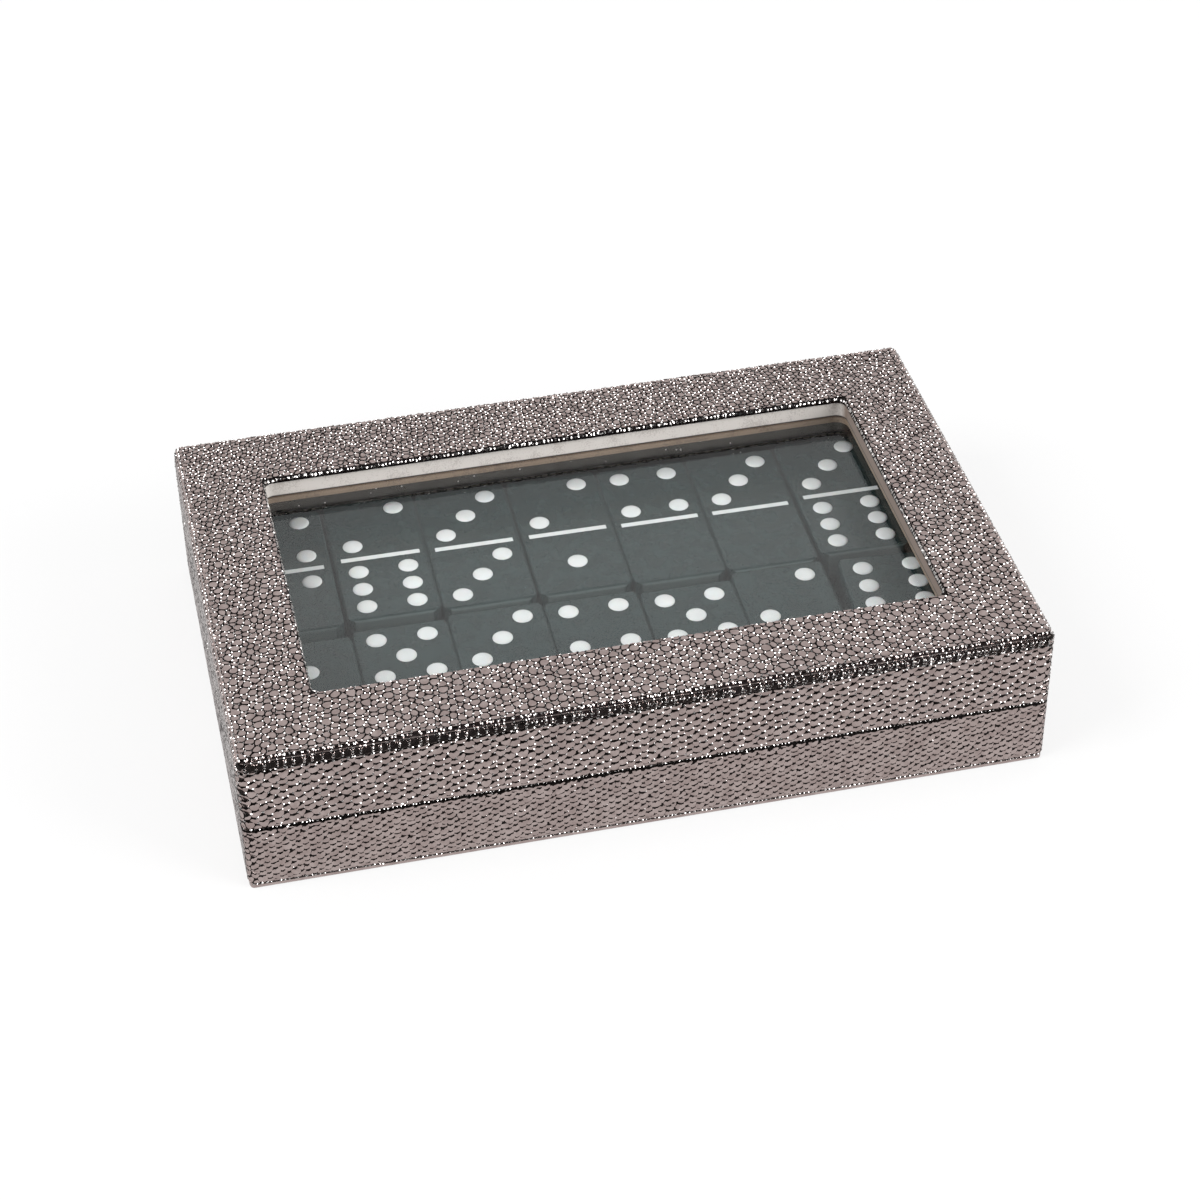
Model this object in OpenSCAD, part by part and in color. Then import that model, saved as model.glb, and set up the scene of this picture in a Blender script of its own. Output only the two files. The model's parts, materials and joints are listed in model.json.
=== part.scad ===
// Domino storage box: a leatherette-covered case with a hinged, glazed lid,
// holding a double-six set of dominoes in two layers of two rows.
// The case is built outwards from the tiles: tiles, play, lining, board, covering.
// Origin: middle of the underside. X runs along the front, +Y to the hinges, +Z up.

/* [Dominoes] */
// Width of one tile
tile_w = 25; // [23.6:0.1:28]
// Length of one tile
tile_l = 51.4; // [49:0.2:58]
// Thickness of one tile
tile_h = 8.8; // [7:0.2:10]
// Radius of a tile's upright corners
tile_corner_r = 3; // [1.5:0.5:5]
// Radius of the rounded edges round a tile's faces
tile_edge_r = 1; // [0.4:0.1:1.4]
// Diameter of one pip
pip_d = 5.3; // [3:0.1:6]
// Depth of the pip and bar pockets
pip_depth = 0.6; // [0.3:0.1:1.2]
// Distance between the two columns of pips
pip_column_gap = 13.2; // [10:0.2:14]
// Distance between the first and last row of pips in one half
pip_row_gap = 14.8; // [12:0.2:16]
// Distance from the bar to the middle pip of a half
half_offset = 13; // [11:0.25:14]
// Length of the dividing bar
bar_l = 21; // [12:0.2:22]
// Width of the dividing bar
bar_w = 1.6; // [0.8:0.1:2.4]

/* [Lie of the tiles] */
// Free width along a row of seven tiles
side_play = 8; // [5:0.1:10]
// Free depth along two tiles end to end
end_play = 9.2; // [6:0.2:12]
// How far the loose top layer has settled round, in degrees
layer_turn = -0.7; // [-1:0.1:0]
// How far the last tile at the front has turned, in degrees
end_tile_turn = -4; // [-5:0.5:0]

/* [Case] */
// Height of the base, up to the seam
base_h = 19.5; // [17:0.1:24]
// Height of the lid, from the seam up
lid_h = 21.2; // [19:0.1:26]
// Thickness of the wall boards
wall_t = 7.7; // [7:0.1:12]
// Thickness of the covered plate under the base
plate_t = 1.6; // [1.4:0.1:2.4]
// Thickness of the base's floor board
floor_t = 1.8; // [1.4:0.2:4]
// Thickness of the leatherette covering
cover_t = 1; // [0.6:0.1:1.2]
// Thickness of the black flocked lining on the walls
lining_t = 1; // [0.5:0.1:1.5]
// Thickness of the black flocked lining on the floor
floor_lining_t = 0.6; // [0.4:0.1:1.5]
// Gap at the seam between lid and base
seam_gap = 0.3; // [0.2:0.05:0.5]
// Radius of the case's upright corners
corner_r = 2; // [1.5:0.25:3]
// Radius of the rolled edge round the top
roll_r = 2; // [1.5:0.25:3]
// Radius of the rolled edge round the rim of the base
rim_roll_r = 0.8; // [0.4:0.1:0.9]
// Radius of the turned edges of the plate and at the foot of the walls
fold_r = 0.6; // [0.3:0.1:0.6]
// Thickness of the covering under the plate
plate_cover_t = 0.6; // [0.4:0.1:0.8]
// Width of the covering turned in under the base
turn_in = 12; // [8:1:20]

/* [Window] */
// Width of the lid frame at the left and right
frame_side = 21.4; // [16:0.2:28]
// Width of the lid frame at the front and back
frame_end = 21.4; // [16:0.2:28]
// Radius of the window's corners
window_corner_r = 2.5; // [1:0.5:5]
// Radius of the rolled edge round the window
window_roll_r = 0.7; // [0.4:0.1:1.6]
// Thickness of the frame board over the pane
lip_t = 5.1; // [3:0.1:7]
// How far the covering turns down into the window
window_turn = 0.3; // [0.2:0.1:2.4]
// Thickness of the suede edging round the window
edging_t = 0.6; // [0.4:0.1:1]
// How far the edging stands back from the covering above it
edging_back = 0.6; // [0.3:0.1:1]
// Thickness of the glass
pane_t = 1.8; // [1.4:0.2:4]
// How far the pane reaches behind the frame
pane_lap = 5; // [3:0.5:7]
// Thickness of the suede-covered board that holds the pane in
retainer_t = 1.6; // [1.2:0.2:3]
// How far the retainer stands back from the face of the edging above the glass
retainer_back = 0.6; // [0:0.1:2]

/* [Hinges] */
// Distance of each hinge's middle from the end of the case
hinge_inset = 39.5; // [32:0.5:66]
// Length of each hinge
hinge_len = 26; // [20:1:34]
// Radius of the hinge barrel
barrel_r = 1.5; // [1.3:0.1:1.7]
// Radius of the hinge pin
pin_r = 0.8; // [0.6:0.05:0.9]
// Thickness of a hinge leaf
leaf_t = 1; // [0.8:0.1:1.2]
// How far a leaf reaches forward of the pin
leaf_reach = 5.8; // [5.4:0.1:6.4]
// Distance of the pin from the back face
pin_inset = 3; // [2.8:0.1:3.4]
// Angle at which the back edges of lid and base meet
stop_angle = 100; // [90:1:110]
// Distance of each screw from the middle of its hinge
screw_x = 8; // [6:0.5:9]
// Distance of each screw in front of the pin
screw_y = 3.8; // [3.6:0.1:4]
// Radius of a screw's shank
screw_r = 0.75; // [0.5:0.05:0.9]
// Radius of a screw's countersunk head
head_r = 1.3; // [1.1:0.05:1.4]
// Height of a screw's countersunk head
head_h = 0.6; // [0.4:0.1:0.7]
// Length of a screw
screw_len = 6; // [4:0.5:8]

/* [Clearances] */
// Clearance round a pip or bar in its pocket
inlay_clear = 0.02; // [0.01:0.01:0.05]
// Clearance round each piece that is dropped into a recess
fit_clear = 0.3; // [0.1:0.05:0.4]
// Radial clearance of the hinge pin
pin_clear = 0.05; // [0.02:0.01:0.1]
// Clearance round the hinge barrel and between its knuckles
barrel_clear = 0.2; // [0.1:0.05:0.3]
// Clearance round a screw's shank
screw_clear = 0.05; // [0.02:0.01:0.1]

/* [Hidden] */
$fn = 48;
tile_columns = 7;

// Case sizes, worked outwards from the tiles.
clear_w = tile_columns * tile_w + side_play;
clear_d = 2 * tile_l + end_play;
inner_w = clear_w + 2 * lining_t;
inner_d = clear_d + 2 * lining_t;
board_w = inner_w + 2 * wall_t;
board_d = inner_d + 2 * wall_t;
box_w = board_w + 2 * cover_t;
box_d = board_d + 2 * cover_t;
box_h = base_h + lid_h;

// Heights in the base.
floor_low = plate_t + cover_t;
floor_top = floor_low + floor_t;
tile_z = floor_top + floor_lining_t;
base_rim = base_h - seam_gap / 2;
base_board_top = base_rim - cover_t;

// Heights in the lid.
lid_rim = base_h + seam_gap / 2;
lid_board_low = lid_rim + cover_t;
lid_board_top = box_h - cover_t;
pane_top = lid_board_top - lip_t;
pane_low = pane_top - pane_t;
retainer_low = pane_low - retainer_t;

// Window and pane.
window_w = box_w - 2 * frame_side;
window_d = box_d - 2 * frame_end;
pane_w = window_w + 2 * pane_lap;
pane_d = window_d + 2 * pane_lap;

// Hinge.
hinge_x = box_w / 2 - hinge_inset;
pin_y = box_d / 2 - pin_inset;
knuckle_len = hinge_len / 3;
past = 5;

// The set: [back half, front half] of each tile, from left to right.
TOP_BACK_ROW = [[4, 2], [2, 6], [3, 3], [2, 1], [4, 0], [3, 0], [3, 6]];
TOP_FRONT_ROW = [[1, 5], [5, 5], [3, 4], [4, 6], [5, 0], [2, 0], [6, 6]];
LOW_BACK_ROW = [[0, 0], [0, 1], [0, 6], [1, 1], [1, 3], [1, 4], [1, 6]];
LOW_FRONT_ROW = [[2, 2], [2, 3], [2, 5], [3, 5], [4, 4], [4, 5], [5, 6]];

// Where each loose tile lies: its share of the free width that is to its left,
// and its share of the free depth that is between it and the middle (less than
// none where it has slid past the middle).
LOW_LIE = [
    [0.07, 0.3], [0.21, 0.3], [0.36, 0.3], [0.5, 0.3], [0.64, 0.3], [0.79, 0.3], [0.93, 0.3]
];
TOP_BACK_LIE = [
    [0.07, -0.13], [0.16, 0.14], [0.17, -0.02], [0.22, -0.06], [0.23, -0.2], [0.24, -0.24], [0.32, 0.04]
];
TOP_FRONT_LIE = [
    [0.18, 0.97], [0.19, 0.66], [0.2, 0.37], [0.21, 0.57], [0.24, 0.84], [0.25, 0.28], [0.56, 0.57]
];

// Each row: [tiles, lie, layer from the floor, -1 for front or 1 for back].
ROWS = [
    [LOW_BACK_ROW, LOW_LIE, 0, 1],
    [LOW_FRONT_ROW, LOW_LIE, 0, -1],
    [TOP_BACK_ROW, TOP_BACK_LIE, 1, 1],
    [TOP_FRONT_ROW, TOP_FRONT_LIE, 1, -1]
];

function tile_name(tile) = str("tile_", tile[0], "_", tile[1]);
TILE_NODES = [for (row = ROWS) for (tile = row[0]) tile_name(tile)];

// Where the pips of a number stand, as [column, row] from -1 to 1.
function pip_spots(number) = concat(
    number % 2 == 1 ? [[0, 0]] : [],
    number >= 2 ? [[1, 1], [-1, -1]] : [],
    number >= 4 ? [[-1, 1], [1, -1]] : [],
    number == 6 ? [[-1, 0], [1, 0]] : []
);

// ---- Shared shapes ----

// A rectangle about the origin with rounded corners.
module rounded_rect(w, d, r) {
    square([w - 2 * r, d], center = true);
    square([w, d - 2 * r], center = true);
    for (sx = [-1, 1])
        for (sy = [-1, 1])
            translate([sx * (w / 2 - r), sy * (d / 2 - r)]) circle(r = r);
}

// A block about the Z axis from low to high.
module block(w, d, low, high) {
    translate([-w / 2, -d / 2, low]) cube([w, d, high - low]);
}

// A block with rounded upright corners.
module rounded_block(w, d, r, low, high) {
    translate([0, 0, low]) linear_extrude(high - low) rounded_rect(w, d, r);
}

// A flat frame between an outer and an inner rectangle.
module ring(outer_w, outer_d, inner_w, inner_d, low, high) {
    difference() {
        block(outer_w, outer_d, low, high);
        block(inner_w, inner_d, low - past, high + past);
    }
}

// A profile about the vertical, with its lower and upper corners rolled.
module rolled_profile(w, low, high, r_low, r_high) {
    middle = (low + r_low + high - r_high) / 2;
    translate([-w / 2, low + r_low]) square([w, high - r_high - low - r_low]);
    translate([-w / 2 + r_low, low]) square([w - 2 * r_low, middle - low]);
    translate([-w / 2 + r_high, middle]) square([w - 2 * r_high, high - middle]);
    for (side = [-1, 1]) {
        translate([side * (w / 2 - r_low), low + r_low]) circle(r = r_low);
        translate([side * (w / 2 - r_high), high - r_high]) circle(r = r_high);
    }
}

// A block with rounded upright corners whose lower and upper edges are rolled.
module rolled_block(w, d, r, low, high, r_low, r_high) {
    intersection() {
        rounded_block(w, d, r, low, high);
        rotate([90, 0, 0]) linear_extrude(d + past, center = true)
            rolled_profile(w, low, high, r_low, r_high);
        rotate([90, 0, 90]) linear_extrude(w + past, center = true)
            rolled_profile(d, low, high, r_low, r_high);
    }
}

// The groove along the back seam that lets the lid turn on its pins until
// the two slopes meet. inside is how far the slopes lie within the covering.
module back_groove(inside) {
    slope = stop_angle / 2;
    apex_y = pin_y - inside / sin(slope);
    mouth_y = box_d / 2 + past;
    mouth_z = (mouth_y - apex_y) * tan(slope);
    rotate([90, 0, 90]) linear_extrude(box_w + 2 * past, center = true)
        polygon([
            [apex_y, base_h],
            [mouth_y, base_h + mouth_z],
            [mouth_y, base_h - mouth_z]
        ]);
}

// The recess that a pair of leaves and their barrel lie in. up is 1 in the
// lid and -1 in the base.
module hinge_pockets(up) {
    rim = base_h + up * seam_gap / 2;
    pocket_len = hinge_len + 2 * fit_clear;
    pocket_y = leaf_reach + fit_clear;
    low = up == 1 ? base_h : rim - leaf_t;
    for (side = [-1, 1])
        translate([side * hinge_x, pin_y, 0]) {
            translate([-pocket_len / 2, -pocket_y, low])
                cube([pocket_len, pocket_y, leaf_t + seam_gap / 2]);
            translate([0, 0, base_h]) rotate([0, 90, 0])
                cylinder(r = barrel_r + barrel_clear, h = pocket_len, center = true);
        }
}

// ---- Boards ----

// The shape of the window, larger all round by wider.
module window_block(wider, low, high) {
    rounded_block(
        window_w + 2 * wider, window_d + 2 * wider, window_corner_r + wider, low, high);
}

// What is taken off the square edge round the window to leave it rolled.
module window_edge_cut() {
    roll_z = box_h - window_roll_r;
    difference() {
        window_block(window_roll_r, roll_z, box_h + past);
        for (side = [-1, 1]) {
            translate([0, side * (window_d / 2 + window_roll_r), roll_z]) rotate([0, 90, 0])
                cylinder(r = window_roll_r, h = window_w - 2 * window_corner_r, center = true);
            translate([side * (window_w / 2 + window_roll_r), 0, roll_z]) rotate([90, 0, 0])
                cylinder(r = window_roll_r, h = window_d - 2 * window_corner_r, center = true);
        }
        for (turn = [0 : 3])
            translate([
                (turn == 0 || turn == 3 ? 1 : -1) * (window_w / 2 - window_corner_r),
                (turn < 2 ? 1 : -1) * (window_d / 2 - window_corner_r),
                roll_z
            ]) rotate(90 * turn) rotate_extrude(angle = 90)
                translate([window_corner_r + window_roll_r, 0]) circle(r = window_roll_r);
    }
}

// A board along the front or back of lid or base.
module long_wall(side, low, high) {
    translate([-board_w / 2, side * (inner_d + wall_t) / 2 - wall_t / 2, low])
        cube([board_w, wall_t, high - low]);
}

// A board at the left or right, between the front and back boards.
module short_wall(side, low, high) {
    translate([side * (inner_w + wall_t) / 2 - wall_t / 2, -inner_d / 2, low])
        cube([wall_t, inner_d, high - low]);
}

// A back board with its slope, its hinge recesses and its screw holes.
module hinged_wall(up, low, high) {
    difference() {
        long_wall(1, low, high);
        back_groove(cover_t);
        hinge_pockets(up);
        for (side = [-1, 1])
            at_screws(side, up) screw_hole();
    }
}

module base_plate_card() {
    color("#a89878") block(board_w, board_d, plate_cover_t, plate_t);
}

// The card that fills the space between the covering's turned-in edges.
module base_filler_card() {
    color("#a89878")
        block(box_w - 2 * turn_in, box_d - 2 * turn_in, plate_t, floor_low);
}

module base_floor_board() {
    color("#b08d62") block(board_w, board_d, floor_low, floor_top);
}

module base_wall_front() {
    color("#b08d62") long_wall(-1, floor_top, base_board_top);
}

module base_wall_back() {
    color("#b08d62") hinged_wall(-1, floor_top, base_board_top);
}

module base_wall_left() {
    color("#b08d62") short_wall(-1, floor_top, base_board_top);
}

module base_wall_right() {
    color("#b08d62") short_wall(1, floor_top, base_board_top);
}

module lid_wall_front() {
    color("#b08d62") long_wall(-1, lid_board_low, pane_low);
}

module lid_wall_back() {
    color("#b08d62") hinged_wall(1, lid_board_low, pane_low);
}

module lid_wall_left() {
    color("#b08d62") short_wall(-1, lid_board_low, pane_low);
}

module lid_wall_right() {
    color("#b08d62") short_wall(1, lid_board_low, pane_low);
}

// The lid's top board, with the window and a rebate under it for the pane.
module lid_frame_board() {
    color("#b08d62") difference() {
        block(board_w, board_d, pane_low, lid_board_top);
        window_block(edging_back + edging_t, pane_low - past, box_h + past);
        block(pane_w + fit_clear, pane_d + fit_clear, pane_low - past, pane_top);
    }
}

// ---- Coverings and linings ----

// The leatherette round the plate: underside and edges.
module base_plate_cover() {
    color("#968984") difference() {
        rolled_block(box_w, box_d, corner_r, 0, plate_t, fold_r, fold_r);
        block(board_w, board_d, plate_cover_t, plate_t + past);
    }
}

// The leatherette of the base: outside, over the rim and turned in below.
module base_cover() {
    color("#968984") difference() {
        rolled_block(box_w, box_d, corner_r, plate_t, base_rim, fold_r, rim_roll_r);
        back_groove(0);
        difference() {
            block(board_w, board_d, floor_low, base_board_top);
            back_groove(cover_t);
        }
        block(clear_w, clear_d, base_board_top - past, base_rim + past);
        block(box_w - 2 * turn_in, box_d - 2 * turn_in, -past, floor_low + past);
        hinge_pockets(-1);
    }
}

// The leatherette of the lid: top, sides and rim, turned down into the window.
module lid_cover() {
    color("#968984") difference() {
        rolled_block(box_w, box_d, corner_r, lid_rim, box_h, fold_r, roll_r);
        back_groove(0);
        difference() {
            block(board_w, board_d, lid_board_low, lid_board_top);
            back_groove(cover_t);
            window_block(edging_back + edging_t, lid_board_top - window_turn, box_h);
        }
        block(clear_w, clear_d, lid_rim - past, lid_board_low + past);
        window_block(0, lid_board_top - window_turn - past, box_h + past);
        window_edge_cut();
        hinge_pockets(1);
    }
}

module base_floor_lining() {
    color("#262424") block(inner_w, inner_d, floor_top, tile_z);
}

module base_wall_lining() {
    color("#262424") ring(inner_w, inner_d, clear_w, clear_d, tile_z, base_board_top);
}

module lid_wall_lining() {
    color("#262424") ring(inner_w, inner_d, clear_w, clear_d, lid_board_low, retainer_low);
}

// The suede strip round the inside of the window, down to the glass.
module window_edging() {
    color("#c8c1b9") difference() {
        window_block(edging_back + edging_t, pane_top, lid_board_top - window_turn);
        window_block(edging_back, pane_top - past, box_h);
    }
}

module window_pane() {
    color("#cfd8d5", 0.4) block(pane_w, pane_d, pane_low, pane_top);
}

module pane_retainer() {
    color("#7a6a60") difference() {
        block(inner_w - fit_clear, inner_d - fit_clear, retainer_low, pane_low);
        window_block(edging_back + retainer_back, retainer_low - past, pane_low + past);
    }
}

// ---- Hinges ----

// The two screws of one hinge, seen from the leaf: up is the way they point.
module at_screws(side, up) {
    for (along = [-1, 1])
        translate([side * hinge_x + along * screw_x, pin_y - screw_y, base_h + up * seam_gap / 2])
            mirror([0, 0, up == 1 ? 0 : 1]) children();
}

// A countersunk screw with its head at the origin, pointing up.
module screw() {
    cylinder(r1 = head_r, r2 = screw_r, h = head_h);
    cylinder(r = screw_r, h = screw_len);
}

// The hole for it, with its clearance.
module screw_hole() {
    cylinder(r1 = head_r + screw_clear, r2 = screw_r + screw_clear, h = head_h);
    cylinder(r = screw_r + screw_clear, h = screw_len + fit_clear);
}

// One knuckle of a barrel, with its middle at the distance from_middle.
module knuckle(from_middle, radius, length) {
    translate([from_middle, pin_y, base_h]) rotate([0, 90, 0])
        cylinder(r = radius, h = length, center = true);
}

// A leaf with the knuckles that stand at the given distances. The other
// leaf's knuckles turn in the spaces between them.
module leaf(side, up, own, others) {
    rim = base_h + up * seam_gap / 2;
    low = up == 1 ? rim : rim - leaf_t;
    length = knuckle_len - barrel_clear;
    difference() {
        translate([side * hinge_x, 0, 0]) difference() {
            union() {
                translate([-hinge_len / 2, pin_y - leaf_reach, low])
                    cube([hinge_len, leaf_reach, leaf_t]);
                for (from_middle = own) knuckle(from_middle, barrel_r, length);
            }
            for (from_middle = others)
                knuckle(from_middle, barrel_r + barrel_clear, knuckle_len + barrel_clear);
            knuckle(0, pin_r + pin_clear, hinge_len + past);
        }
        at_screws(side, up) screw_hole();
    }
}

module base_leaf(side) {
    color("#b9bcc0") leaf(side, -1, [-knuckle_len, knuckle_len], [0]);
}

module lid_leaf(side) {
    color("#b9bcc0") leaf(side, 1, [0], [-knuckle_len, knuckle_len]);
}

module hinge_pin(side) {
    color("#9a9da1") translate([side * hinge_x, 0, 0]) knuckle(0, pin_r, hinge_len);
}

module hinge_left_base_leaf() { base_leaf(-1); }
module hinge_right_base_leaf() { base_leaf(1); }
module hinge_left_lid_leaf() { lid_leaf(-1); }
module hinge_right_lid_leaf() { lid_leaf(1); }
module hinge_left_pin() { hinge_pin(-1); }
module hinge_right_pin() { hinge_pin(1); }

module base_hinge_screws() {
    color("#8f9296") for (side = [-1, 1]) at_screws(side, -1) screw();
}

module lid_hinge_screws() {
    color("#8f9296") for (side = [-1, 1]) at_screws(side, 1) screw();
}

// ---- Dominoes ----

// Places what follows at a tile of a row, with its underside at the origin.
module at_tile(row, column) {
    layer = row[2];
    back = row[3];
    is_end = layer == 1 && back == -1 && column == tile_columns - 1;
    lie = row[1][column];
    x = (column + 0.5) * tile_w - clear_w / 2 + lie[0] * side_play;
    y = back * (tile_l + lie[1] * end_play) / 2;
    rotate(layer == 1 ? layer_turn : 0)
        translate([x, y, tile_z + layer * tile_h])
            rotate(is_end ? end_tile_turn - layer_turn : 0) children();
}

// A tile's outside: rounded corners, and rounded edges round both faces.
module tile_blank() {
    rolled_block(tile_w, tile_l, tile_corner_r, 0, tile_h, tile_edge_r, tile_edge_r);
}

// The pips of one tile, each widened by extra and starting at depth below the face.
module pips(tile, extra, depth, height) {
    for (half = [0, 1])
        for (spot = pip_spots(tile[half]))
            translate([
                spot[0] * pip_column_gap / 2,
                (half == 0 ? 1 : -1) * half_offset + spot[1] * pip_row_gap / 2,
                tile_h - depth
            ]) cylinder(r = pip_d / 2 + extra, h = height);
}

module bar(extra, depth, height) {
    translate([-bar_l / 2 - extra, -bar_w / 2 - extra, tile_h - depth])
        cube([bar_l + 2 * extra, bar_w + 2 * extra, height]);
}

module domino(row, column) {
    tile = row[0][column];
    color("#202223") at_tile(row, column) difference() {
        tile_blank();
        pips(tile, inlay_clear, pip_depth, pip_depth + past);
        bar(inlay_clear, pip_depth, pip_depth + past);
    }
}

module tile_pips() {
    color("#f0f0ee")
        for (row = ROWS)
            for (column = [0 : tile_columns - 1])
                at_tile(row, column) pips(row[0][column], 0, pip_depth, pip_depth);
}

module tile_bars() {
    color("#f0f0ee")
        for (row = ROWS)
            for (column = [0 : tile_columns - 1])
                at_tile(row, column) bar(0, pip_depth, pip_depth);
}

// ---- Nodes ----

base_plate_cover();
base_plate_card();
base_filler_card();
base_floor_board();
base_wall_front();
base_wall_back();
base_wall_left();
base_wall_right();
base_cover();
base_floor_lining();
base_wall_lining();
hinge_left_base_leaf();
hinge_right_base_leaf();
hinge_left_pin();
hinge_right_pin();
base_hinge_screws();
tile_pips();
tile_bars();
lid_frame_board();
lid_wall_front();
lid_wall_back();
lid_wall_left();
lid_wall_right();
lid_cover();
window_edging();
window_pane();
pane_retainer();
lid_wall_lining();
hinge_left_lid_leaf();
hinge_right_lid_leaf();
lid_hinge_screws();
for (row = ROWS)
    for (column = [0 : tile_columns - 1])
        domino(row, column);
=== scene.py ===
import json
import math
import random
from collections import namedtuple
import bmesh
import bpy
from mathutils import Matrix, Vector

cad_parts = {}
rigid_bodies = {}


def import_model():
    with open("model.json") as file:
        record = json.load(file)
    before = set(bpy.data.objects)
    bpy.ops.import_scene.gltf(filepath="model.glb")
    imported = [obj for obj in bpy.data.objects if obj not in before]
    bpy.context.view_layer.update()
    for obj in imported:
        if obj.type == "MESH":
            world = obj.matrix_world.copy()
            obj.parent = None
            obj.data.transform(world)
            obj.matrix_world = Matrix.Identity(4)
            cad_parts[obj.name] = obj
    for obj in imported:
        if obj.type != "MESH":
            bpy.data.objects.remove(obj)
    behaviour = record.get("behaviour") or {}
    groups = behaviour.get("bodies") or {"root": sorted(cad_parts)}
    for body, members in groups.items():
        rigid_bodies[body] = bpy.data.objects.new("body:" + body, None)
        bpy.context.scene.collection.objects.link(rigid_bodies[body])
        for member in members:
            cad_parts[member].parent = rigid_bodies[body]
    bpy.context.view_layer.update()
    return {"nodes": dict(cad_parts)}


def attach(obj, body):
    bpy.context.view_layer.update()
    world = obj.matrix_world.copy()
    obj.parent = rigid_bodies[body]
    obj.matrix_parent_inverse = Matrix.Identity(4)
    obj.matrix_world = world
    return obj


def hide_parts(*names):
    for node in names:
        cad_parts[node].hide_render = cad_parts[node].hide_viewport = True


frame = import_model()
nodes = frame["nodes"]

# ---- Plate under the base ----
# A card plate wrapped in the covering, glued under the base, and a second card
# that fills the space between the turned-in edges above it. Both cards are
# plain grey-brown pulpboard, cut to size.


def linear(hex_colour):
    """An sRGB hex colour as the linear colour that a shader takes."""
    parts = [int(hex_colour[i:i + 2], 16) / 255 for i in (1, 3, 5)]
    return tuple(c / 12.92 if c <= 0.04045 else ((c + 0.055) / 1.055) ** 2.4 for c in parts) + (1.0,)


def feed(made, **sockets):
    """Gives each input of a node a value or a link, from an output or from the
    first output of another node. An input is named, with _ for a space, or
    numbered as i0, i1 and so on."""
    for name, value in sockets.items():
        key = int(name[1:]) if name[0] == "i" and name[1:].isdigit() else name.replace("_", " ")
        if isinstance(value, bpy.types.Node):
            value = value.outputs[0]
        if isinstance(value, bpy.types.NodeSocket):
            made.id_data.links.new(value, made.inputs[key])
        else:
            made.inputs[key].default_value = value


def node(tree, kind, settings=None, **sockets):
    """One node, with its settings and its inputs. The setting stops gives a
    colour ramp its pairs of position and hex colour."""
    made = tree.nodes.new(kind)
    for name, value in (settings or {}).items():
        if name != "stops":
            setattr(made, name, value)
            continue
        elements = made.color_ramp.elements
        while len(elements) < len(value):
            elements.new(0.5)
        for element, (place, colour) in zip(elements, value):
            element.position = place
            element.color = linear(colour)
    feed(made, **sockets)
    return made


def new_material(name, **values):
    """A material with its surface shader, ready for its pattern."""
    material = bpy.data.materials.new(name)
    material.use_nodes = True
    tree = material.node_tree
    tree.nodes.clear()
    shader = node(tree, "ShaderNodeBsdfPrincipled", **values)
    node(tree, "ShaderNodeOutputMaterial", Surface=shader)
    return material, tree, shader


def dress(name, material):
    """Gives a CAD node one material in all its slots."""
    piece = nodes[name]
    piece.data.materials.clear()
    piece.data.materials.append(material)


# Pulpboard: pressed recycled paper, with short fibres and darker specks.
pulpboard, tree, shader = new_material("pulpboard_card", Roughness=0.9)
place = node(tree, "ShaderNodeTexCoord").outputs["Object"]
fibres = node(tree, "ShaderNodeTexNoise", Vector=place, Scale=900.0, Detail=6.0)
shade = node(tree, "ShaderNodeValToRGB", {"stops": [(0.3, "#8f8268"), (0.7, "#b2a58b")]}, Fac=fibres)
relief = node(tree, "ShaderNodeBump", Height=fibres, Distance=0.0001)
feed(shader, Base_Color=shade, Normal=relief)
dress("base_plate_card", pulpboard)
dress("base_filler_card", pulpboard)

# ---- Boards of base and lid ----
# Medium-density fibreboard, sawn to strips and glued at the corners. The
# covering and the linings hide nearly all of it.

fibreboard, tree, shader = new_material("sawn_fibreboard", Roughness=0.8)
place = node(tree, "ShaderNodeTexCoord").outputs["Object"]
fibres = node(tree, "ShaderNodeTexNoise", Vector=place, Scale=1400.0, Detail=5.0)
shade = node(tree, "ShaderNodeValToRGB", {"stops": [(0.3, "#9a7a50"), (0.7, "#c2a377")]}, Fac=fibres)
relief = node(tree, "ShaderNodeBump", Height=fibres, Distance=0.0001)
feed(shader, Base_Color=shade, Normal=relief)
for name in ("base_floor_board", "base_wall_front", "base_wall_back", "base_wall_left",
             "base_wall_right", "lid_frame_board", "lid_wall_front", "lid_wall_back",
             "lid_wall_left", "lid_wall_right"):
    dress(name, fibreboard)

# ---- Covering ----
# Leatherette with a thin pewter foil, embossed like shagreen: flat pebbles of
# mixed sizes, shallow grooves, and small beads in the deeper pits. It is glued
# over the boards, rolled over the edges and turned in at the rims.

# The solids are the floor of its grooves, and the grain is raised on them.
CASE_W, CASE_D, CASE_H = 0.2024, 0.1314, 0.0407   # outside of the groove floor
SEAM = 0.0195                                     # height of the seam
CORNER_R = 0.002                                  # upright corners and top roll
ROLL_FOOT = CASE_H - CORNER_R                     # where the roll of the top edge begins
TIGHTEST = 0.00005                                # least radius of a corner
PLATE_TOP = 0.0016                                # top of the plate under the base
WINDOW_W, WINDOW_D, WINDOW_R = 0.1596, 0.0886, 0.0025
GROOVE_FOOT = 0.0036                              # half the mouth of the back groove
GROOVE_DEPTH = 0.003                              # from the back to the hinge axis
RELIEF = 0.0003                                   # height of a pebble
BASE_PITCH, LID_PITCH, TOP_PITCH = 0.00185, 0.00215, 0.0019   # from one pebble to the next

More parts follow.
